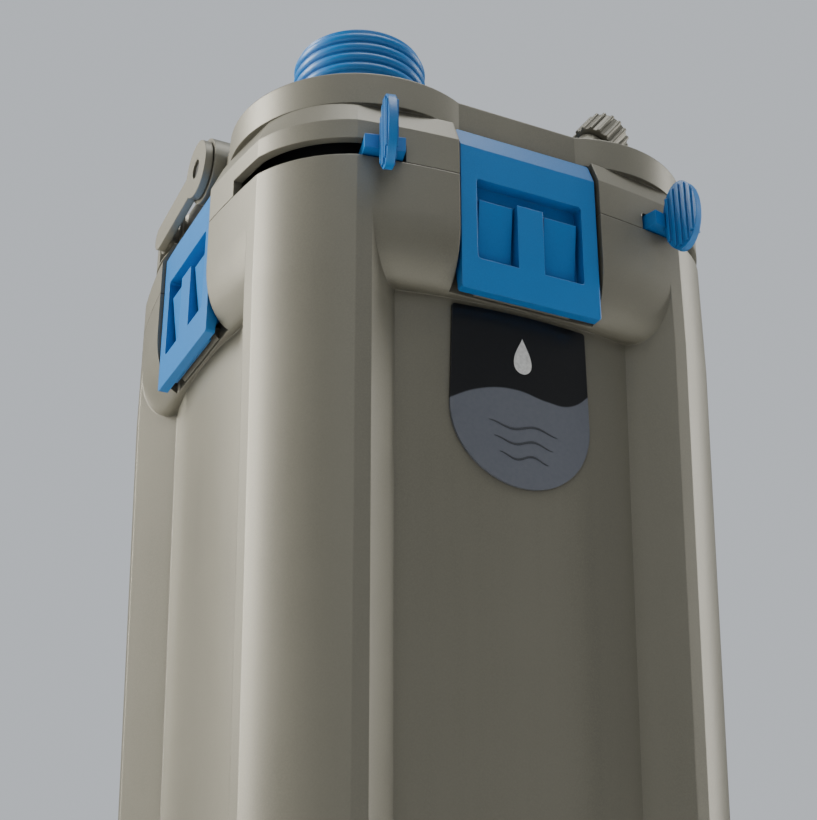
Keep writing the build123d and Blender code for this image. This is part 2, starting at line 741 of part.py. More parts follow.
def lever_plane(side, z):
    """Level plane on a front dome's axis whose local X runs along the resting lever."""
    x, y = dome_spot(side)
    angle = math.radians(LEVER_AT)
    along = (side * math.sin(angle), -math.cos(angle), 0)
    return Plane(origin=(x, y, up(z)), x_dir=along, z_dir=(0, 0, 1))


def ring(spot, z, outer, inner, tall):
    """Plain ring standing on level z."""
    with BuildPart() as piece:
        with BuildSketch(Plane.XY.offset(up(z))):
            with Locations(spot):
                Circle(outer)
                Circle(inner, mode=Mode.SUBTRACT)
        extrude(amount=tall)
    return piece.part


for side, place in ((-1, "left"), (1, "right")):
    spot = dome_spot(side)
    with BuildPart() as valve_cup:
        add(ring(spot, DECK_TOP, CUP_R, CUP_BORE, CUP_TOP - DECK_TOP))
        add(slot_wedge(side, up(DECK_TOP), SLOT_FROM - SLOT_EXTRA, SLOT_TO + SLOT_EXTRA))
        extrude(amount=SLOT_H - DECK_TOP, mode=Mode.SUBTRACT)
    finish(valve_cup.part, f"valve_cup_{place}")

    with BuildPart() as valve_spool:
        add(ring(spot, SPOOL_LOW, SPOOL_R, SPOOL_BORE, SPOOL_TOP - SPOOL_LOW))
        with BuildSketch(Plane.XY.offset(up(SPOOL_LOW))):
            with Locations(spot):
                Circle(SPOOL_BORE)
            with Locations((side * RISER, -RISER)):
                Circle(VALVE_HOLE, mode=Mode.SUBTRACT)
        extrude(amount=SPOOL_FLOOR)
    finish(valve_spool.part, f"valve_spool_{place}")

    with BuildPart() as valve_lever:
        with BuildSketch(lever_plane(side, ARM_LOW)):
            with Locations(((ARM_REACH + SPOOL_BORE) / 2, 0)):
                Rectangle(ARM_REACH - SPOOL_BORE, 2 * ARM_HALF)
            with Locations(((CORE_REACH + SPOOL_R) / 2, 0)):
                Rectangle(CORE_REACH - SPOOL_R, TAB_CORE)
            Circle(SPOOL_R, mode=Mode.SUBTRACT)
        extrude(amount=ARM_TOP - ARM_LOW)
        level = lever_plane(side, (TAB_TOP + TAB_LOW) / 2)
        upright = Plane(origin=level.origin, x_dir=level.x_dir, z_dir=level.y_dir)
        middle = (TAB_IN + TAB_OUT) / 2
        half_long = (TAB_OUT - TAB_IN) / 2
        half_tall = (TAB_TOP - TAB_LOW) / 2
        with BuildSketch(upright):
            with Locations((middle, 0)):
                Ellipse(half_long, half_tall)
        extrude(amount=TAB_CORE / 2, both=True)
        with BuildSketch(upright):
            for step in range(-2, 3):
                rise = half_tall * math.sqrt(1 - (step * TAB_PITCH / half_long) ** 2)
                with Locations((middle + step * TAB_PITCH, 0)):
                    Rectangle(TAB_PITCH / 2, 2 * (rise - TAB_MARGIN))
        extrude(amount=TAB_RIB / 2, both=True)
    finish(valve_lever.part, f"valve_lever_{place}")

    with BuildPart() as port_seal:
        add(ring(spot, ROOF - WALL - SEAL_DEEP, SEAL_OUT, SEAL_IN, SEAL_DEEP))
    finish(port_seal.part, f"port_seal_{place}")


def threads(spot, top, outer, count):
    """Rounded crests of a hose thread, as plain rings without a lead."""
    root = outer - CREST_DEEP
    with BuildPart() as crests:
        for turn in range(count):
            level = top - (turn + 0.5) * PITCH
            with BuildSketch(Plane(origin=(*spot, up(level)), x_dir=(1, 0, 0), z_dir=(0, -1, 0))):
                with BuildLine():
                    Line((root - CREST_SINK, -CREST_HALF * PITCH), (root, -CREST_HALF * PITCH))
                    ThreePointArc((root, -CREST_HALF * PITCH), (outer, 0), (root, CREST_HALF * PITCH))
                    Line((root, CREST_HALF * PITCH), (root - CREST_SINK, CREST_HALF * PITCH))
                    Line((root - CREST_SINK, CREST_HALF * PITCH), (root - CREST_SINK, -CREST_HALF * PITCH))
                make_face()
            revolve(axis=Axis((*spot, 0), (0, 0, 1)))
    return crests.part


def port_barrel(spot, top, outer, bore):
    """Flange under the roof and the tube that rises through it."""
    with BuildPart() as barrel:
        add(ring(spot, CUP_TOP, CUP_R, bore, FLANGE_TOP - CUP_TOP))
        add(ring(spot, CUP_TOP, outer, bore, top - CUP_TOP))
        groove = ring(spot, ROOF - WALL - SEAL_DEEP, SEAL_OUT, SEAL_IN, SEAL_DEEP)
        add(groove, mode=Mode.SUBTRACT)
    return barrel.part


with BuildPart() as inlet_port:
    add(port_barrel(dome_spot(-1), PORT_TOP, NECK_R, PORT_BORE))
    chamfer(inlet_port.edges().group_by(Axis.Z)[-1], length=PORT_BEVEL)
    add(threads(dome_spot(-1), THREAD_TOP, PORT_R, CRESTS))
finish(inlet_port.part, "inlet_port")

with BuildPart() as outlet_socket:
    add(port_barrel(dome_spot(1), RING_NUT_TOP, SOCKET_OUT, SOCKET_BORE))
    chamfer(outlet_socket.edges().group_by(Axis.Z)[-1].sort_by(SortBy.LENGTH)[0], length=NUT_BEVEL)
finish(outlet_socket.part, "outlet_socket")

with BuildPart() as outlet_nut:
    add(ring(dome_spot(1), ROOF, RING_NUT_R, SOCKET_OUT, RING_NUT_TOP - ROOF))
    chamfer(outlet_nut.edges().group_by(Axis.Z)[-1].sort_by(SortBy.LENGTH)[-1], length=NUT_BEVEL)
finish(outlet_nut.part, "outlet_nut")

with BuildPart() as port_collar:
    add(ring(dome_spot(-1), ROOF, COLLAR_R, NECK_R, COLLAR_TOP - ROOF))
    fillet(port_collar.edges().group_by(Axis.Z)[-1].sort_by(SortBy.LENGTH)[-1], radius=COLLAR_ROUND)
    with BuildSketch(Plane.XY.offset(up(ROOF + COLLAR_NOTCH / 2))):
        with Locations(dome_spot(-1)):
            with PolarLocations(COLLAR_R, 1, start_angle=COLLAR_NOTCH_AT):
                Rectangle(2 * WALL, COLLAR_NOTCH)
    extrude(amount=COLLAR_TOP, mode=Mode.SUBTRACT)
finish(port_collar.part, "port_collar")

# ---------------------------------------------------------------- air vent on the right front dome
CAP_R = 9.0
CAP_HALF = 5.25
CAP_RIBS = 16
CAP_RIB_R = 0.8
STEM_R = 3.0
VENT_SEAL_IN = 0.6      # the seal ring lies this far inside the boss

with BuildPart() as vent_cap:
    with BuildSketch(vent_plane(-CAP_HALF)):
        Circle(CAP_R - CAP_RIB_R)
        with PolarLocations(CAP_R - CAP_RIB_R, CAP_RIBS):
            Circle(CAP_RIB_R)
    extrude(amount=2 * CAP_HALF)
    with BuildSketch(vent_plane(-CAP_HALF)):
        Circle(STEM_R)
    extrude(amount=CAP_HALF, mode=Mode.SUBTRACT)
finish(vent_cap.part, "vent_cap")

with BuildPart() as vent_stem:
    with BuildSketch(vent_plane(-STEM_LONG + GAP)):
        Circle(STEM_R)
    extrude(amount=STEM_LONG - GAP)
finish(vent_stem.part, "vent_stem")

with BuildPart() as vent_seal:
    with BuildSketch(vent_plane(-BOSS_END)):
        Circle(VENT_BOSS_R - VENT_SEAL_IN)
        Circle(VENT_BORE, mode=Mode.SUBTRACT)
    extrude(amount=BOSS_END - CAP_HALF - SEAL_REST)
finish(vent_seal.part, "vent_seal")

# ---------------------------------------------------------------- latches
LATCH_BACK = 86.0
RIB_DEEP = 3.7          # the stiffening ribs clear the vessel's channel
KNUCKLE_DEEP = 4.2      # the hinge knuckle lies in the lid's pocket
KNUCKLE_LOW = 10.0
KNUCKLE_TOP = 17.5
KNUCKLE_LIP = 1.8
RIB_TOP = 11.0
RIB_TURN = -20.0
RIB_LOW = -39.0
LATCH_ROUND = 1.0
WINDOW_ROUND = 1.2
BACK_HALF = 22.0        # pan behind the window
BACK_TOP = 4.0
BACK_LOW = -33.0
BACK_DEEP = 3.4
PAD_RISE = 0.8
TOOTH_RISE = 0.6
WINDOW_HALF = 20.0
WINDOW_TOP = 1.2
WINDOW_LOW = -29.0
WINDOW_FLOOR = 84.6
MULLION_HALF = 4.9
PAD_FACE = 88.2
PAD_IN = 6.0
PAD_OUT = 18.5
PAD_TOP = -6.0
TOOTH_LOW = -40.0
TOOTH_TOP = -38.3
RIB_IN = 23.4


def latch_slice(quarter, points, start, end):
    """A profile in the face's side plane, drawn out between two stations across the face."""
    with BuildPart() as piece:
        with BuildSketch(side_plane(quarter, start)):
            with BuildLine():
                Polyline(*points, close=True)
            make_face()
        extrude(amount=end - start)
    return piece.part


for quarter, face in enumerate(("front", "right", "rear", "left")):
    with BuildPart() as latch:
        outer_profile = (
            (-LATCH_FACE, LATCH_BOTTOM),
            (-LATCH_FACE, LATCH_BREAK),
            (-LATCH_BACK, LATCH_TOP),
            (-LATCH_BACK + KNUCKLE_LIP, LATCH_TOP),
            (-LATCH_BACK + KNUCKLE_DEEP, KNUCKLE_TOP),
            (-LATCH_BACK + KNUCKLE_DEEP, KNUCKLE_LOW),
            (-LATCH_BACK, KNUCKLE_LOW - 2),
            (-LATCH_BACK, LATCH_BOTTOM),
        )
        add(latch_slice(quarter, outer_profile, -LATCH_HALF, LATCH_HALF))
        with BuildSketch(front_plane(quarter, LATCH_FACE + 1)):
            with Locations((0, (LATCH_TOP + LATCH_BOTTOM) / 2)):
                RectangleRounded(2 * LATCH_HALF, LATCH_TOP - LATCH_BOTTOM, LATCH_ROUND)
        extrude(amount=-CUTTER, mode=Mode.INTERSECT)
        with BuildSketch(front_plane(quarter, LATCH_BACK)):
            with Locations((0, (BACK_TOP + BACK_LOW) / 2)):
                Rectangle(2 * BACK_HALF, BACK_TOP - BACK_LOW)
        extrude(amount=-BACK_DEEP)
        for start, end in ((-LATCH_HALF, -RIB_IN), (RIB_IN, LATCH_HALF)):
            rib = (
                (-LATCH_BACK, RIB_TOP - 2),
                (-LATCH_BACK + RIB_DEEP, RIB_TOP),
                (-LATCH_BACK + RIB_DEEP, RIB_TURN),
                (-LATCH_BACK, RIB_LOW),
            )
            add(latch_slice(quarter, rib, start, end))
        with BuildSketch(front_plane(quarter, LATCH_FACE + 1)):
            with Locations((0, (WINDOW_TOP + WINDOW_LOW) / 2)):
                RectangleRounded(2 * WINDOW_HALF, WINDOW_TOP - WINDOW_LOW, WINDOW_ROUND)
        extrude(amount=WINDOW_FLOOR - LATCH_FACE - 1, mode=Mode.SUBTRACT)
        bar = (
            (-WINDOW_FLOOR, WINDOW_LOW),
            (-LATCH_FACE, WINDOW_LOW),
            (-LATCH_FACE, PAD_TOP + 1),
            (-WINDOW_FLOOR, PAD_TOP + 1),
        )
        add(latch_slice(quarter, bar, -MULLION_HALF, MULLION_HALF))
        wedge = (
            (-WINDOW_FLOOR, PAD_TOP),
            (-PAD_FACE, PAD_TOP),
            (-WINDOW_FLOOR - PAD_RISE, WINDOW_LOW),
            (-WINDOW_FLOOR, WINDOW_LOW),
        )
        for start, end in ((-PAD_OUT, -PAD_IN), (PAD_IN, PAD_OUT)):
            add(latch_slice(quarter, wedge, start, end))
        tooth = (
            (-LATCH_BACK, TOOTH_LOW),
            (-LATCH_BACK, TOOTH_TOP + TOOTH_RISE),
            (-CATCH_REACH - GAP, TOOTH_TOP),
            (-CATCH_REACH - GAP, TOOTH_LOW),
        )
        add(latch_slice(quarter, tooth, -CATCH_HALF, CATCH_HALF))
        with BuildSketch(side_plane(quarter, -LATCH_HALF - 1)):
            with Locations((-PIN_Y, PIN_Z)):
                Circle(PIN_R + FIT)
        extrude(amount=2 * LATCH_HALF + 2, mode=Mode.SUBTRACT)
    finish(latch.part, f"latch_{face}")

    with BuildPart() as latch_pin:
        with BuildSketch(side_plane(quarter, -CHANNEL - PIN_SEAT)):
            with Locations((-PIN_Y, PIN_Z)):
                Circle(PIN_R)
        extrude(amount=2 * (CHANNEL + PIN_SEAT))
    finish(latch_pin.part, f"latch_pin_{face}")

# ---------------------------------------------------------------- carry handle
PLATE_R = 10.8
EYE_R = 3.6
GRIP_DEEP = 12.0
GRIP_TALL = 9.0
GRIP_ROUND = 3.0
ARM_END_R = 4.8
ARM_HEEL = (9.0, -3.0)  # where an arm leaves its plate, from the pivot
ARM_HEEL_R = 5.0
PIN_SUNK = 1.0
GRIP_Y = PIVOT_Y + HANDLE_REACH
GRIP_Z = PIVOT_Z - HANDLE_DROP

with BuildPart() as carry_handle:
    for start in (-HANDLE_IN - HANDLE_THICK, HANDLE_IN):
        with BuildSketch(Plane(origin=(start, 0, SEAM), x_dir=(0, 1, 0), z_dir=(1, 0, 0))):
            with Locations((PIVOT_Y, PIVOT_Z)):
                Circle(PLATE_R)
            with BuildSketch(mode=Mode.ADD):
                with Locations((PIVOT_Y + ARM_HEEL[0], PIVOT_Z + ARM_HEEL[1])):
                    Circle(ARM_HEEL_R)
                with Locations((GRIP_Y, GRIP_Z)):
                    Circle(ARM_END_R)
                make_hull()
        extrude(amount=HANDLE_THICK)
    with BuildSketch(Plane(origin=(-HANDLE_IN, 0, SEAM), x_dir=(0, 1, 0), z_dir=(1, 0, 0))):
        with Locations((GRIP_Y, GRIP_Z)):
            RectangleRounded(GRIP_DEEP, GRIP_TALL, GRIP_ROUND)
    extrude(amount=2 * HANDLE_IN)
    with BuildSketch(Plane(origin=(-2 * HANDLE_IN, 0, SEAM), x_dir=(0, 1, 0), z_dir=(1, 0, 0))):
        with Locations((PIVOT_Y, PIVOT_Z)):
            Circle(EYE_R)
    extrude(amount=4 * HANDLE_IN, mode=Mode.SUBTRACT)
finish(carry_handle.part, "carry_handle")

for start, sign, place in ((HANDLE_IN - GAP, 1, "right"), (-HANDLE_IN + GAP, -1, "left")):
    with BuildPart() as handle_pin:
        with BuildSketch(Plane(origin=(start, 0, SEAM), x_dir=(0, 1, 0), z_dir=(1, 0, 0))):
            with Locations((PIVOT_Y, PIVOT_Z)):
                Circle(EYE_R - FIT)
        extrude(amount=sign * (HANDLE_THICK + GAP - PIN_SUNK))
        with BuildSketch(Plane(origin=(start, 0, SEAM), x_dir=(0, 1, 0), z_dir=(1, 0, 0))):
            with Locations((PIVOT_Y, PIVOT_Z)):
                Circle(SHANK_R)
        extrude(amount=-sign * (HANDLE_IN - GAP - TIER + WALL))
    finish(handle_pin.part, f"handle_pin_{place}")
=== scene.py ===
"""Looks for the canister filter: materials, media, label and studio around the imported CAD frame.

Everything is in metres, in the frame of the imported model: feet on z = 0, the labelled face looks along -Y.
"""

import json
import math
import random

import bmesh
import bpy
from mathutils import Matrix, Vector, noise
from mathutils.bvhtree import BVHTree


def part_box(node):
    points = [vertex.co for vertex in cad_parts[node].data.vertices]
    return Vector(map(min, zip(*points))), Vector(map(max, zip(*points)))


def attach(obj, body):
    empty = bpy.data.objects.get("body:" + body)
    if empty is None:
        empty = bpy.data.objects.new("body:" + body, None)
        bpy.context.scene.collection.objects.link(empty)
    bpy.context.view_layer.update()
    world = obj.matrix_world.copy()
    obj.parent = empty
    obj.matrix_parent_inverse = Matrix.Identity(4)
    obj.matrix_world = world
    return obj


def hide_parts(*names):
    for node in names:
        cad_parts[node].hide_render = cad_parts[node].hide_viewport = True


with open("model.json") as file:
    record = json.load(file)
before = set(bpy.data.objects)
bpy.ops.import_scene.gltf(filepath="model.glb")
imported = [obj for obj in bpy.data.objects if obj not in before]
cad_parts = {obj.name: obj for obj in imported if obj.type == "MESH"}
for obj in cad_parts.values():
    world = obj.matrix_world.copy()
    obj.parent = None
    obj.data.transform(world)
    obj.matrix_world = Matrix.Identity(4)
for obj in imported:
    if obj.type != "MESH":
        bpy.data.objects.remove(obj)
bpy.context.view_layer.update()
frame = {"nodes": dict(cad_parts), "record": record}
MM = 0.001


# ---------------------------------------------------------------- node helpers
def new_material(name):
    """An empty node material with its Principled shader."""
    mat = bpy.data.materials.new(name)
    mat.use_nodes = True
    return mat, mat.node_tree.nodes, mat.node_tree.links, mat.node_tree.nodes["Principled BSDF"]


def noise_tex(nodes, links, scale, detail=4.0, rough=0.55, stretch=(1, 1, 1)):
    """Noise in the object's own coordinates, which are the row frame in metres."""
    coords = nodes.new("ShaderNodeTexCoord")
    mapping = nodes.new("ShaderNodeMapping")
    mapping.inputs["Scale"].default_value = stretch
    tex = nodes.new("ShaderNodeTexNoise")
    tex.inputs["Scale"].default_value = scale
    tex.inputs["Detail"].default_value = detail
    tex.inputs["Roughness"].default_value = rough
    links.new(coords.outputs["Object"], mapping.inputs["Vector"])
    links.new(mapping.outputs["Vector"], tex.inputs["Vector"])
    return tex.outputs["Fac"]


def ramp(nodes, links, value, low, high, first=(0, 0, 0, 1), last=(1, 1, 1, 1)):
    """A two-stop ramp of a value."""
    node = nodes.new("ShaderNodeValToRGB")
    node.color_ramp.elements[0].position = low
    node.color_ramp.elements[0].color = first
    node.color_ramp.elements[1].position = high
    node.color_ramp.elements[1].color = last
    links.new(value, node.inputs["Fac"])
    return node.outputs["Color"]


def mixed(nodes, links, factor, first, last, blend="MIX"):
    """Colour mix; each side is a socket or a plain colour."""
    node = nodes.new("ShaderNodeMix")
    node.data_type = "RGBA"
    node.blend_type = blend
    for value, socket in ((factor, node.inputs[0]), (first, node.inputs[6]), (last, node.inputs[7])):
        if isinstance(value, bpy.types.NodeSocket):
            links.new(value, socket)
        else:
            socket.default_value = value
    return node.outputs[2]


def scaled(nodes, links, value, low, high):
    """Map 0..1 to low..high."""
    node = nodes.new("ShaderNodeMapRange")
    node.inputs["To Min"].default_value = low
    node.inputs["To Max"].default_value = high
    links.new(value, node.inputs["Value"])
    return node.outputs["Result"]


def shade(colour, factor):
    """A lighter or darker opaque version of a colour."""
    return (*(min(1.0, channel * factor) for channel in colour[:3]), 1.0)


def edge_mask(nodes, links, radius):
    """White along convex and concave edges, from how far a rounded normal leans off the true one."""
    bevel = nodes.new("ShaderNodeBevel")
    bevel.samples = 6
    bevel.inputs["Radius"].default_value = radius
    geometry = nodes.new("ShaderNodeNewGeometry")
    dot = nodes.new("ShaderNodeVectorMath")
    dot.operation = "DOT_PRODUCT"
    links.new(bevel.outputs["Normal"], dot.inputs[0])
    links.new(geometry.outputs["Normal"], dot.inputs[1])
    return ramp(nodes, links, dot.outputs["Value"], 0.80, 0.985, (1, 1, 1, 1), (0, 0, 0, 1))


def grain_normal(nodes, links, bsdf, scale, strength, distance, round_edges=0.0, waviness=0.0):
    """Moulded grain as a bump, over softly rounded edges."""
    fine = noise_tex(nodes, links, scale, 3.0, 0.6)
    bump = nodes.new("ShaderNodeBump")
    bump.inputs["Strength"].default_value = strength
    bump.inputs["Distance"].default_value = distance
    links.new(fine, bump.inputs["Height"])
    previous = None
    if waviness:
        broad = noise_tex(nodes, links, 14.0, 2.0, 0.4)
        wave = nodes.new("ShaderNodeBump")
        wave.inputs["Strength"].default_value = waviness
        wave.inputs["Distance"].default_value = 0.002
        links.new(broad, wave.inputs["Height"])
        previous = wave
        links.new(wave.outputs["Normal"], bump.inputs["Normal"])
    if round_edges:
        bevel = nodes.new("ShaderNodeBevel")
        bevel.samples = 6
        bevel.inputs["Radius"].default_value = round_edges
        links.new(bevel.outputs["Normal"], (previous or bump).inputs["Normal"])
    links.new(bump.outputs["Normal"], bsdf.inputs["Normal"])


def plastic(name, colour, rough, grain=2600.0, wear=0.25, mottle=0.07, coat=0.0, metal=0.0, edge=0.0006):
    """Moulded plastic: fine grain, faint flow streaks, mottling, paler rubbed edges and painted shade in
    corners and crevices.
    """
    mat, nodes, links, bsdf = new_material(name)
    cloud = noise_tex(nodes, links, 11.0, 5.0)
    streak = noise_tex(nodes, links, 1.0, 3.0, 0.5, (85.0, 85.0, 4.0))
    patches = ramp(nodes, links, cloud, 0.3, 0.7)
    base = mixed(nodes, links, patches, shade(colour, 1 - mottle), shade(colour, 1 + mottle))
    flow = ramp(nodes, links, streak, 0.42, 0.62)
    streaked = mixed(nodes, links, flow, base, shade(colour, 1 + 0.6 * mottle))
    speck = noise_tex(nodes, links, 1900.0, 2.0)
    specked = mixed(
        nodes, links, ramp(nodes, links, speck, 0.35, 0.75), streaked, shade(colour, 1 + 1.5 * mottle)
    )
    worn_noise = noise_tex(nodes, links, 130.0, 4.0)
    scuffs = ramp(nodes, links, worn_noise, 0.35, 0.7)
    rubbed = mixed(nodes, links, edge_mask(nodes, links, edge), (0, 0, 0, 1), scuffs)
    bleached = [0.55 * c + 0.45 * (0.25 + 0.75 * c) for c in colour]
    worn = mixed(nodes, links, rubbed, specked, shade(bleached, 1.25))
    faded = mixed(nodes, links, 1.0 - wear, worn, specked)
    # painted shade: ambient occlusion darkens the base colour in corners, creases and between parts
    occlusion = nodes.new("ShaderNodeAmbientOcclusion")
    occlusion.inputs["Distance"].default_value = 0.006
    occlusion.samples = 6
    painted_crevice_shade = ramp(nodes, links, occlusion.outputs["AO"], 0.25, 0.95, shade(colour, 0.55), (1, 1, 1, 1))
    crevice_shaded = mixed(nodes, links, 0.55, faded, painted_crevice_shade, "MULTIPLY")
    links.new(crevice_shaded, bsdf.inputs["Base Color"])
    links.new(scaled(nodes, links, cloud, rough - 0.05, rough + 0.07), bsdf.inputs["Roughness"])
    bsdf.inputs["Metallic"].default_value = metal
    bsdf.inputs["Coat Weight"].default_value = coat
    bsdf.inputs["Coat Roughness"].default_value = 0.25
    grain_normal(nodes, links, bsdf, grain, 0.22, 0.00012, edge, 0.05)
    return mat


def plain_detail(name, colour, rough, scale, metal=0.0, depth=0.0002, strength=0.4):
    """Rubber, steel or ceramic: mottled colour with its own grain."""
    mat, nodes, links, bsdf = new_material(name)
    cloud = noise_tex(nodes, links, scale, 4.0)
    links.new(
        mixed(nodes, links, ramp(nodes, links, cloud, 0.3, 0.7), shade(colour, 0.82), shade(colour, 1.14)),
        bsdf.inputs["Base Color"],
    )
    links.new(scaled(nodes, links, cloud, rough - 0.06, rough + 0.08), bsdf.inputs["Roughness"])
    bsdf.inputs["Metallic"].default_value = metal
    grain_normal(nodes, links, bsdf, scale * 6, strength, depth, 0.0004)
    return mat


def sponge(name, colour, scale):
    """Open-cell foam: pores painted dark as shade between pale struts."""
    mat, nodes, links, bsdf = new_material(name)
    coords = nodes.new("ShaderNodeTexCoord")
    cells = nodes.new("ShaderNodeTexVoronoi")
    cells.inputs["Scale"].default_value = scale
    links.new(coords.outputs["Object"], cells.inputs["Vector"])
    # painted shade: the pore hollows are darkened in the base colour
    painted_pore_shade = ramp(nodes, links, cells.outputs["Distance"], 0.12, 0.5, shade(colour, 0.25), shade(colour, 1.1))
    links.new(painted_pore_shade, bsdf.inputs["Base Color"])
    bsdf.inputs["Roughness"].default_value = 0.95
    bump = nodes.new("ShaderNodeBump")
    bump.inputs["Strength"].default_value = 0.9
    bump.inputs["Distance"].default_value = 0.0015
    links.new(cells.outputs["Distance"], bump.inputs["Height"])
    links.new(bump.outputs["Normal"], bsdf.inputs["Normal"])
    return mat


# ---------------------------------------------------------------- materials
TAUPE = (0.205, 0.196, 0.155)
BLUE = (0.006, 0.165, 0.470)
DARK = (0.018, 0.019, 0.021)

body_plastic = plastic("body_plastic", TAUPE, 0.40, metal=0.35, wear=0.3)
lid_plastic = plastic("lid_plastic", shade(TAUPE, 1.04), 0.42, metal=0.35, wear=0.35)
blue_plastic = plastic("blue_plastic", BLUE, 0.36, grain=3200.0, wear=0.35, coat=0.04, edge=0.0005)
dark_plastic = plastic("dark_plastic", DARK, 0.45, wear=0.4)
pin_plastic = plastic("pin_plastic", (0.02, 0.02, 0.018), 0.6)
rubber = plain_detail("black_rubber", (0.02, 0.02, 0.02), 0.72, 260.0)
steel = plain_detail("steel", (0.55, 0.55, 0.54), 0.28, 500.0, 1.0, 0.00005, 0.2)
ceramic = plain_detail("ceramic", (0.62, 0.55, 0.44), 0.85, 900.0, 0.0, 0.0004, 0.7)
foam_blue = sponge("foam_blue", (0.03, 0.10, 0.28), 420.0)
foam_white = sponge("foam_white", (0.62, 0.63, 0.60), 900.0)

FINISHES = {
    "body_plastic": body_plastic,
    "lid_plastic": lid_plastic,
    "blue_plastic": blue_plastic,
    "basket_plastic": dark_plastic,
    "pin_dark": pin_plastic,
    "black_rubber": rubber,
    "steel": steel,
    "foam_blue": foam_blue,
    "foam_white": foam_white,
    "ceramic": ceramic,
}


def label_material():
    """Printed film: black above a wavy edge and slate below it, under a satin coat."""
    mat, nodes, links, bsdf = new_material("label_film")
    low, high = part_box("label_plate")
    coords = nodes.new("ShaderNodeTexCoord")
    split = nodes.new("ShaderNodeSeparateXYZ")
    links.new(coords.outputs["Object"], split.inputs["Vector"])
    across = nodes.new("ShaderNodeMapRange")
    across.inputs["From Min"].default_value = low[0]
    across.inputs["From Max"].default_value = high[0]
    links.new(split.outputs["X"], across.inputs["Value"])
    wave = nodes.new("ShaderNodeFloatCurve")
    curve = wave.mapping.curves[0]
    curve.points[0].location = (0.0, 0.44)
    curve.points[-1].location = (1.0, 0.62)
    for x, z in ((0.22, 0.525), (0.45, 0.55), (0.68, 0.52), (0.84, 0.525)):
        curve.points.new(x, z)
    wave.mapping.update()
    links.new(across.outputs["Result"], wave.inputs["Value"])
    level = nodes.new("ShaderNodeMapRange")
    level.inputs["From Min"].default_value = low[2]
    level.inputs["From Max"].default_value = high[2]
    links.new(split.outputs["Z"], level.inputs["Value"])
    above = nodes.new("ShaderNodeMath")
    above.operation = "SUBTRACT"
    links.new(level.outputs["Result"], above.inputs[0])
    links.new(wave.outputs["Value"], above.inputs[1])
    edge = ramp(nodes, links, above.outputs["Value"], 0.0, 0.006)
    print_speck = noise_tex(nodes, links, 700.0, 3.0)
    slate = mixed(nodes, links, print_speck, (0.115, 0.125, 0.150, 1), (0.145, 0.155, 0.180, 1))
    black = mixed(nodes, links, print_speck, (0.0035, 0.0035, 0.004, 1), (0.008, 0.008, 0.009, 1))
    links.new(mixed(nodes, links, edge, slate, black), bsdf.inputs["Base Color"])
    bsdf.inputs["Roughness"].default_value = 0.34
    bsdf.inputs["Coat Weight"].default_value = 0.3
    bsdf.inputs["Coat Roughness"].default_value = 0.2
    grain_normal(nodes, links, bsdf, 1500.0, 0.12, 0.00005, 0.0003, 0.04)
    return mat


FINISHES["label_film"] = label_material()


def dress_cad_nodes():
    """Each CAD node takes the material of its slot in the record."""
    for entry in frame["record"]["subparts"]:
        node = frame["nodes"].get(entry["node"])
        if node is None:
            continue
        node.data.materials.clear()
        node.data.materials.append(FINISHES[entry["material_slot"]])


dress_cad_nodes()


# ---------------------------------------------------------------- pieces of the scene's own
def mesh_piece(name, mesh, mat, body):
    """Put a mesh into the scene and let it ride on a body."""
    obj = bpy.data.objects.new(name, mesh)
    bpy.context.scene.collection.objects.link(obj)
    obj.data.materials.append(mat)
    for polygon in obj.data.polygons:
        polygon.use_smooth = True
    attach(obj, body)
    return obj


FOAM_VOXEL = 3 * MM
FOAM_SWELL = 0.5 * MM
FOAM_LUMPS = 90.0           # lumps per metre along the foam's sides


def foam_block(node, mat, swell, seed):
    """Cut foam: the CAD block with rounded, slightly uneven sides."""
    source = frame["nodes"][node]
    mesh = source.data.copy()
    mesh.materials.clear()
    obj = bpy.data.objects.new(node + "_cut", mesh)
    bpy.context.scene.collection.objects.link(obj)
    remesh = obj.modifiers.new("cells", "REMESH")
    remesh.mode = "VOXEL"
    remesh.voxel_size = FOAM_VOXEL
    depsgraph = bpy.context.evaluated_depsgraph_get()
    built = bpy.data.meshes.new_from_object(obj.evaluated_get(depsgraph))
    bpy.data.objects.remove(obj)
    for vertex in built.vertices:
        shift = noise.noise(vertex.co * FOAM_LUMPS + Vector((seed, 0, 0)))
        vertex.co -= vertex.normal * (swell * (0.6 + 0.6 * abs(shift)))
    piece = mesh_piece(node + "_cut", built, mat, "vessel")
    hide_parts(node)
    return piece


RING_OUTER = 8 * MM
RING_BORE = 4.5 * MM
RING_TALL = 13 * MM
RING_SIDES = 28
RING_COLUMNS = 5
RING_LAYERS = 4
RING_LAYER_STEP = 14.2 * MM
RING_FIRST = 9 * MM         # centre of the lowest layer above the basket's floor
RING_LEANS = (0.15, 0.5, 1.35)


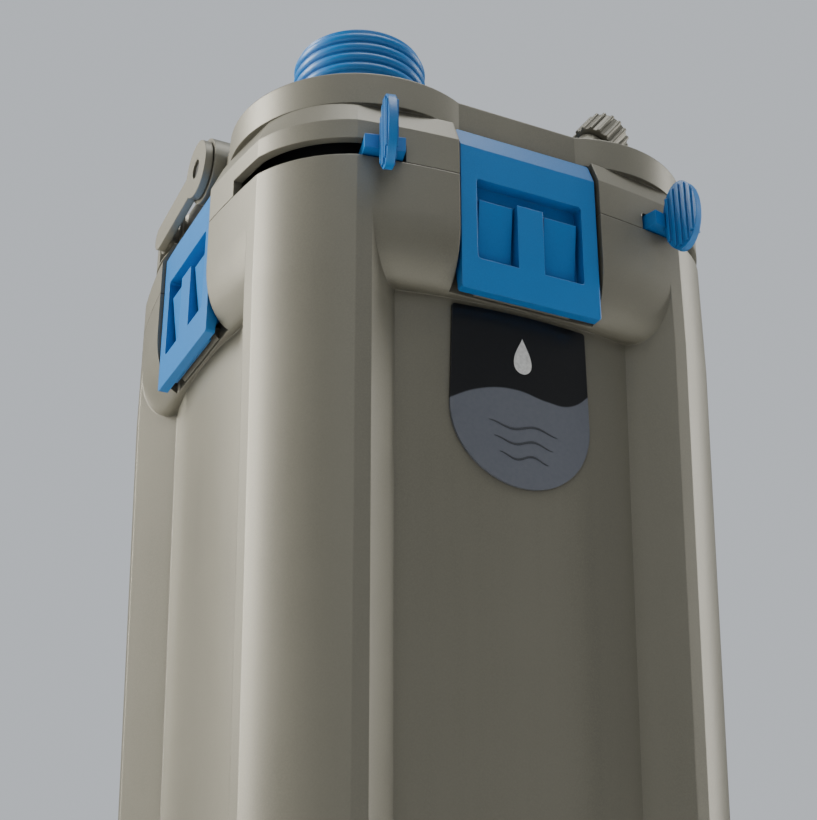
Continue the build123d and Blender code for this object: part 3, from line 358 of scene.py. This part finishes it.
def tumbled_rings():
    """Ceramic rings as they fall: the CAD grid's places with every ring leaning its own way."""
    low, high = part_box("ceramic_rings")
    rng = random.Random(7)
    mesh = bpy.data.meshes.new("ceramic_rings_tumbled")
    whole = bmesh.new()
    outer, bore = RING_OUTER, RING_BORE
    step = (high[0] - low[0] - 2 * outer) / (RING_COLUMNS - 1)
    for layer in range(RING_LAYERS):
        for column in range(RING_COLUMNS):
            for row in range(RING_COLUMNS):
                lean = Matrix.Rotation(rng.uniform(0, math.tau), 4, "Z") @ Matrix.Rotation(
                    rng.choice(RING_LEANS) * rng.uniform(0.7, 1.1), 4, "X"
                )
                centre = Vector((
                    low[0] + outer + column * step + rng.uniform(-1, 1) * MM,
                    low[1] + outer + row * step + rng.uniform(-1, 1) * MM,
                    low[2] + RING_FIRST + layer * RING_LAYER_STEP,
                ))
                loops = []
                profile = (
                    (outer, -0.46), (outer, 0.46), (outer - 0.7 * MM, 0.5),
                    (bore + 0.5 * MM, 0.5), (bore, 0.47), (bore, -0.47),
                    (bore + 0.5 * MM, -0.5), (outer - 0.7 * MM, -0.5),
                )
                for side in range(RING_SIDES):
                    angle = math.tau * side / RING_SIDES
                    loops.append([
                        whole.verts.new(
                            centre + lean @ Vector((r * math.cos(angle), r * math.sin(angle), z * RING_TALL))
                        )
                        for r, z in profile
                    ])
                for side in range(RING_SIDES):
                    here, after = loops[side], loops[(side + 1) % RING_SIDES]
                    for point in range(len(profile)):
                        following = (point + 1) % len(profile)
                        whole.faces.new((here[point], after[point], after[following], here[following]))
    bmesh.ops.recalc_face_normals(whole, faces=whole.faces)
    whole.to_mesh(mesh)
    whole.free()
    piece = mesh_piece("ceramic_rings_tumbled", mesh, ceramic, "vessel")
    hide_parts("ceramic_rings")


foam_block("foam_coarse", foam_blue, FOAM_SWELL, 1.0)
foam_block("foam_fine", foam_white, FOAM_SWELL, 5.0)
tumbled_rings()


INK_LIFT = 0.06 * MM        # print floats this far off the label's face
INK_THICK = 0.05 * MM
DROP_LEVEL = 0.76           # levels are fractions of the label's height
DROP_WIDE = 4.6 * MM
DROP_TALL = 6.4 * MM
DROP_TAPER = 1.4
DROP_STEPS = 32
RIPPLES = 3
RIPPLE_LEVEL = 0.34
RIPPLE_STEP = 0.085
RIPPLE_HALF = 12.5 * MM
RIPPLE_SHORTER = 1.8 * MM   # each ripple is shorter than the one above
RIPPLE_SWING = 0.9 * MM
RIPPLE_THICK = 0.42 * MM
RIPPLE_HALF_STEPS = 16


def on_label(x, z, tree):
    """Depth of the label's face at (x, z), or None beside the label."""
    hit = tree.ray_cast(Vector((x, -1, z)), Vector((0, 1, 0)))[0]
    return hit.y if hit else None


def label_motif():
    """A plain drop over three ripples, lying on the label like print."""
    source = frame["nodes"]["label_plate"].data
    tree = BVHTree.FromPolygons([v.co for v in source.vertices], [p.vertices for p in source.polygons])
    low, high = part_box("label_plate")
    middle_x = (low[0] + high[0]) / 2
    tall = high[2] - low[2]

    def patch(name, strips, mat):
        whole = bmesh.new()
        for top, bottom in strips:
            rails = [
                [whole.verts.new((x, on_label(x, z, tree) - INK_LIFT, z)) for x, z in rail]
                for rail in (top, bottom)
            ]
            for step in range(len(top) - 1):
                whole.faces.new((rails[0][step], rails[0][step + 1], rails[1][step + 1], rails[1][step]))
        mesh = bpy.data.meshes.new(name)
        whole.to_mesh(mesh)
        whole.free()
        piece = mesh_piece(name, mesh, mat, "vessel")
        for polygon in mesh.polygons:
            polygon.use_smooth = False
        thick = piece.modifiers.new("ink", "SOLIDIFY")
        thick.thickness = INK_THICK
        return piece

    drop_z = low[2] + DROP_LEVEL * tall
    drop = ([], [])
    for step in range(DROP_STEPS + 1):
        t = math.pi * (0.01 + 0.98 * step / DROP_STEPS)
        half = DROP_WIDE * math.sin(t) * math.sin(t / 2) ** DROP_TAPER
        z = drop_z + DROP_TALL * math.cos(t)
        drop[0].append((middle_x - half, z))
        drop[1].append((middle_x + half, z))
    ripples = []
    for line in range(RIPPLES):
        level = low[2] + (RIPPLE_LEVEL - RIPPLE_STEP * line) * tall
        half = RIPPLE_HALF - RIPPLE_SHORTER * line
        top, bottom = [], []
        for step in range(2 * RIPPLE_HALF_STEPS + 1):
            along = step / RIPPLE_HALF_STEPS - 1
            x = middle_x + half * along
            swing = RIPPLE_SWING * math.sin(along * math.pi * 1.5)
            width = RIPPLE_THICK * math.sqrt(max(0.02, 1 - along**2))
            top.append((x, level + swing + width))
            bottom.append((x, level + swing - width))
        ripples.append((top, bottom))
    white = plain_detail("print_white", (0.72, 0.72, 0.70), 0.4, 900.0, 0.0, 0.00003, 0.1)
    ink = plain_detail("print_dark", (0.05, 0.055, 0.065), 0.4, 900.0, 0.0, 0.00003, 0.1)
    patch("label_drop", [drop], white)
    patch("label_ripples", ripples, ink)


label_motif()


# ---------------------------------------------------------------- studio
CHEST = (0, 0, 0.27)        # the lights aim here
FLOOR_HALF = 6.0
SKY_ENERGY = 0.7
SKY_ANGLE = 120.0           # degrees: wide, so that it leaves no shadow edge
CAMERA_AT = (-0.2326, -0.4748, 0.046)
CAMERA_RISE = 23.79         # degrees above level
CAMERA_TURN = -25.96
CAMERA_LENS = 69.8
CAMERA_SHIFT = 0.0614
# name, position, size, watts, colour
SOFT_BOXES = (
    ("key_left", (-1.25, 0.55, 0.85), (0.40, 1.2), 38.0, (1.0, 0.97, 0.92)),
    ("side_right", (1.30, -0.22, 0.60), (0.35, 1.1), 11.0, (1.0, 0.98, 0.95)),
    ("top", (0.05, -0.35, 1.45), (0.8, 0.6), 7.0, (1.0, 1.0, 1.0)),
    ("front_fill", (-0.6, -1.5, 0.9), (0.9, 0.9), 2.0, (0.97, 0.98, 1.0)),
)


def soft_box(name, position, size, power, colour):
    """A large soft area light aimed at the object's chest."""
    light = bpy.data.lights.new(name, "AREA")
    light.shape = "RECTANGLE"
    light.size = size[0]
    light.size_y = size[1]
    light.energy = power
    light.color = colour
    obj = bpy.data.objects.new(name, light)
    obj.location = position
    obj.rotation_euler = (Vector(CHEST) - Vector(position)).to_track_quat("-Z", "Y").to_euler()
    bpy.context.scene.collection.objects.link(obj)


def build_surround():
    """A pale backdrop to look at, which lights the object only weakly."""
    world = bpy.data.worlds.new("surround")
    bpy.context.scene.world = world
    world.use_nodes = True
    nodes, links = world.node_tree.nodes, world.node_tree.links
    seen = nodes["Background"]
    seen.inputs["Color"].default_value = (0.66, 0.70, 0.75, 1)
    seen.inputs["Strength"].default_value = 0.85
    glow = nodes.new("ShaderNodeBackground")
    glow.inputs["Color"].default_value = (0.80, 0.88, 1.0, 1)
    glow.inputs["Strength"].default_value = 0.09
    path = nodes.new("ShaderNodeLightPath")
    choice = nodes.new("ShaderNodeMixShader")
    links.new(path.outputs["Is Camera Ray"], choice.inputs[0])
    links.new(glow.outputs["Background"], choice.inputs[1])
    links.new(seen.outputs["Background"], choice.inputs[2])
    links.new(choice.outputs["Shader"], nodes["World Output"].inputs["Surface"])


def build_studio():
    """Pale floor, soft lights and an even pale surround."""
    floor_mesh = bpy.data.meshes.new("floor")
    far = FLOOR_HALF
    corners = [(-far, -far, 0), (far, -far, 0), (far, far, 0), (-far, far, 0)]
    floor_mesh.from_pydata(corners, [], [(0, 1, 2, 3)])
    floor = bpy.data.objects.new("floor", floor_mesh)
    bpy.context.scene.collection.objects.link(floor)
    mat, nodes, links, bsdf = new_material("floor_paint")
    tone = noise_tex(nodes, links, 3.0, 3.0)
    paint = mixed(nodes, links, tone, (0.70, 0.70, 0.69, 1), (0.76, 0.76, 0.75, 1))
    links.new(paint, bsdf.inputs["Base Color"])
    bsdf.inputs["Roughness"].default_value = 0.6
    floor.data.materials.append(mat)
    build_surround()
    sky = bpy.data.lights.new("sky", "SUN")
    sky.energy = SKY_ENERGY
    sky.angle = math.radians(SKY_ANGLE)
    sky.color = (0.95, 0.97, 1.0)
    bpy.context.scene.collection.objects.link(bpy.data.objects.new("sky", sky))
    for name, position, size, power, colour in SOFT_BOXES:
        soft_box(name, position, size, power, colour)


def build_camera():
    """The camera stands low in front of the left front column and looks up."""
    camera = bpy.data.cameras.new("camera")
    camera.sensor_fit = "HORIZONTAL"
    camera.sensor_width = 36.0
    camera.lens = CAMERA_LENS
    camera.shift_y = CAMERA_SHIFT
    camera.clip_start = 0.01
    obj = bpy.data.objects.new("camera", camera)
    obj.location = CAMERA_AT
    obj.rotation_euler = (math.radians(90 + CAMERA_RISE), 0, math.radians(CAMERA_TURN))
    bpy.context.scene.collection.objects.link(obj)
    bpy.context.scene.camera = obj


build_studio()
build_camera()

bpy.context.view_layer.update()
